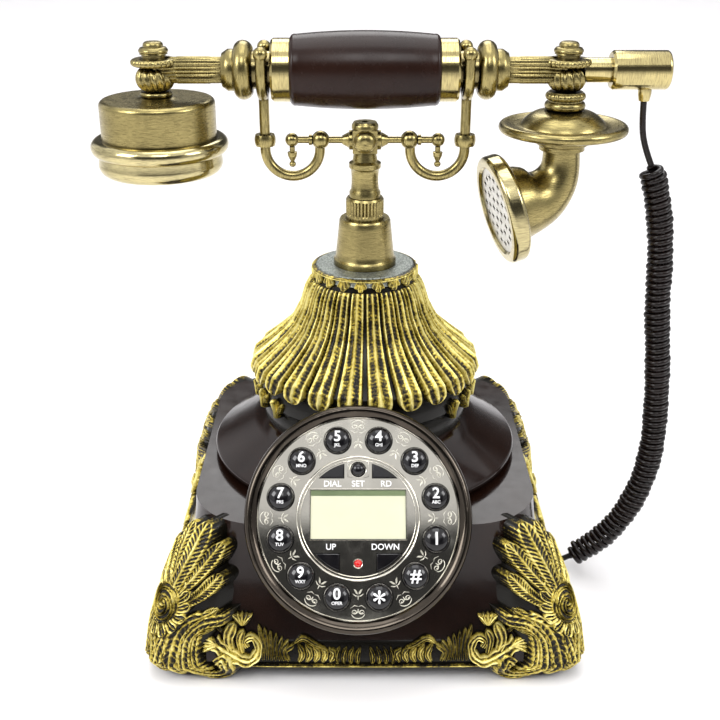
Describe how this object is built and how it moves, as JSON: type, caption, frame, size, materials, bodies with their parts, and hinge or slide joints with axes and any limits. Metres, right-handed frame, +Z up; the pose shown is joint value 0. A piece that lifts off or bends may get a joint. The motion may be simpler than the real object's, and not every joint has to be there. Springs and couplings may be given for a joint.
{
  "type": "cradle telephone",
  "caption": "Antique-style telephone: a leaning round keypad dial on a footed base, a flared leaf bell with a sprung cradle, and a horizontal handset on a curly cord.",
  "frame": {"origin": "on the standing plane, under the middle of the phone's own box without its cord", "axes": "+Z up, -Y the way the dial faces, +X towards the mouthpiece horn; the handset lies along X"},
  "size_m": [0.2674, 0.2071, 0.2654],
  "materials": {
    "espresso": "satin dark brown lacquer on moulded resin",
    "base_black": "matt black",
    "gilt_relief": "black resin relief dry-brushed with bright gold",
    "rubber_black": "matt",
    "steel": "plain",
    "antique_brass": "antique, satin, darker in its grooves",
    "polished_brass": "polished under lacquer",
    "grille_silver": "silver-grey, perforated",
    "grip_brown": "dark brown satin",
    "dark_bronze": "glossy dark bronze",
    "dial_chrome": "dark mirror plating",
    "key_black": "glossy black with white print",
    "lcd_green": "pale green-grey display",
    "lcd_glass": "clear window",
    "lamp_red": "clear red",
    "cord_brown": "glossy brown-black sheath",
    "socket_black": "plain",
    "board_green": "laminate"
  },
  "bodies": {
    "base": {"body_shell": "espresso", "shoulder_disc": "espresso", "base_plate": "base_black", "corner_ornaments": "gilt_relief", "apron_ornaments": "gilt_relief", "bell_skirt": "gilt_relief", "bell_collar": "gilt_relief", "rubber_feet": "rubber_black", "base_screws": "steel", "plunger_spring": "steel", "cone_collar": "antique_brass", "dial_bezel": "dark_bronze", "dial_face": "dial_chrome", "lcd_panel": "lcd_green", "lcd_window": "lcd_glass", "indicator_lamp": "lamp_red", "cord_leads": "cord_brown", "coil_cord": "cord_brown", "cord_plug": "cord_brown", "phone_jacks": "socket_black", "hook_switch": "socket_black", "ringer_speaker": "socket_black", "circuit_boards": "board_green"},
    "cradle": {"stem_column": "antique_brass", "knurled_sleeve": "antique_brass", "hub_block": "antique_brass", "crossbar_arms": "antique_brass", "pendants": "antique_brass", "cradle_forks": "antique_brass"},
    "handset": {"handset_grip": "grip_brown", "grip_collars": "antique_brass", "neck_beads": "antique_brass", "arm_tubes": "antique_brass", "end_knobs": "antique_brass", "finials": "antique_brass", "receiver_cap": "antique_brass", "earpiece": "polished_brass", "transmitter_saucer": "antique_brass", "transmitter_elbow": "antique_brass", "mouthpiece_rim": "polished_brass", "mouthpiece_grille": "grille_silver", "voice_capsules": "socket_black", "cord_cap": "polished_brass"},
    "key_0_body": {"key_0": "key_black"},
    "key_1_body": {"key_1": "key_black"},
    "key_2_body": {"key_2": "key_black"},
    "key_3_body": {"key_3": "key_black"},
    "key_4_body": {"key_4": "key_black"},
    "key_5_body": {"key_5": "key_black"},
    "key_6_body": {"key_6": "key_black"},
    "key_7_body": {"key_7": "key_black"},
    "key_8_body": {"key_8": "key_black"},
    "key_9_body": {"key_9": "key_black"},
    "key_star_body": {"key_star": "key_black"},
    "key_hash_body": {"key_hash": "key_black"},
    "key_dial_body": {"key_dial": "key_black"},
    "key_set_body": {"key_set": "key_black"},
    "key_redial_body": {"key_redial": "key_black"},
    "key_up_body": {"key_up": "key_black"},
    "key_down_body": {"key_down": "key_black"}
  },
  "joints": [
    {"name": "handset_lift", "type": "slide", "parent": "base", "child": "handset", "axis": [0, 0, 1], "range_m": [0, 0.06]},
    {"name": "cradle_rise", "type": "slide", "parent": "base", "child": "cradle", "axis": [0, 0, 1], "range_m": [0, 0.005], "stiffness_N_per_m": 200, "springref_m": 0.005, "deforming": ["plunger_spring"]},
    {"name": "press_0", "type": "slide", "parent": "base", "child": "key_0_body", "axis": [0, 0.829, -0.5592], "range_m": [0, 0.0012], "stiffness_N_per_m": 300, "springref_m": -0.001},
    {"name": "press_1", "type": "slide", "parent": "base", "child": "key_1_body", "axis": [0, 0.829, -0.5592], "range_m": [0, 0.0012], "stiffness_N_per_m": 300, "springref_m": -0.001},
    {"name": "press_2", "type": "slide", "parent": "base", "child": "key_2_body", "axis": [0, 0.829, -0.5592], "range_m": [0, 0.0012], "stiffness_N_per_m": 300, "springref_m": -0.001},
    {"name": "press_3", "type": "slide", "parent": "base", "child": "key_3_body", "axis": [0, 0.829, -0.5592], "range_m": [0, 0.0012], "stiffness_N_per_m": 300, "springref_m": -0.001},
    {"name": "press_4", "type": "slide", "parent": "base", "child": "key_4_body", "axis": [0, 0.829, -0.5592], "range_m": [0, 0.0012], "stiffness_N_per_m": 300, "springref_m": -0.001},
    {"name": "press_5", "type": "slide", "parent": "base", "child": "key_5_body", "axis": [0, 0.829, -0.5592], "range_m": [0, 0.0012], "stiffness_N_per_m": 300, "springref_m": -0.001},
    {"name": "press_6", "type": "slide", "parent": "base", "child": "key_6_body", "axis": [0, 0.829, -0.5592], "range_m": [0, 0.0012], "stiffness_N_per_m": 300, "springref_m": -0.001},
    {"name": "press_7", "type": "slide", "parent": "base", "child": "key_7_body", "axis": [0, 0.829, -0.5592], "range_m": [0, 0.0012], "stiffness_N_per_m": 300, "springref_m": -0.001},
    {"name": "press_8", "type": "slide", "parent": "base", "child": "key_8_body", "axis": [0, 0.829, -0.5592], "range_m": [0, 0.0012], "stiffness_N_per_m": 300, "springref_m": -0.001},
    {"name": "press_9", "type": "slide", "parent": "base", "child": "key_9_body", "axis": [0, 0.829, -0.5592], "range_m": [0, 0.0012], "stiffness_N_per_m": 300, "springref_m": -0.001},
    {"name": "press_star", "type": "slide", "parent": "base", "child": "key_star_body", "axis": [0, 0.829, -0.5592], "range_m": [0, 0.0012], "stiffness_N_per_m": 300, "springref_m": -0.001},
    {"name": "press_hash", "type": "slide", "parent": "base", "child": "key_hash_body", "axis": [0, 0.829, -0.5592], "range_m": [0, 0.0012], "stiffness_N_per_m": 300, "springref_m": -0.001},
    {"name": "press_dial", "type": "slide", "parent": "base", "child": "key_dial_body", "axis": [0, 0.829, -0.5592], "range_m": [0, 0.0012], "stiffness_N_per_m": 300, "springref_m": -0.001},
    {"name": "press_set", "type": "slide", "parent": "base", "child": "key_set_body", "axis": [0, 0.829, -0.5592], "range_m": [0, 0.0012], "stiffness_N_per_m": 300, "springref_m": -0.001},
    {"name": "press_redial", "type": "slide", "parent": "base", "child": "key_redial_body", "axis": [0, 0.829, -0.5592], "range_m": [0, 0.0012], "stiffness_N_per_m": 300, "springref_m": -0.001},
    {"name": "press_up", "type": "slide", "parent": "base", "child": "key_up_body", "axis": [0, 0.829, -0.5592], "range_m": [0, 0.0012], "stiffness_N_per_m": 300, "springref_m": -0.001},
    {"name": "press_down", "type": "slide", "parent": "base", "child": "key_down_body", "axis": [0, 0.829, -0.5592], "range_m": [0, 0.0012], "stiffness_N_per_m": 300, "springref_m": -0.001}
  ],
  "couplings": [
    {"joint": "cradle_rise", "follows": "handset_lift", "ratio": 0.0833}
  ]
}
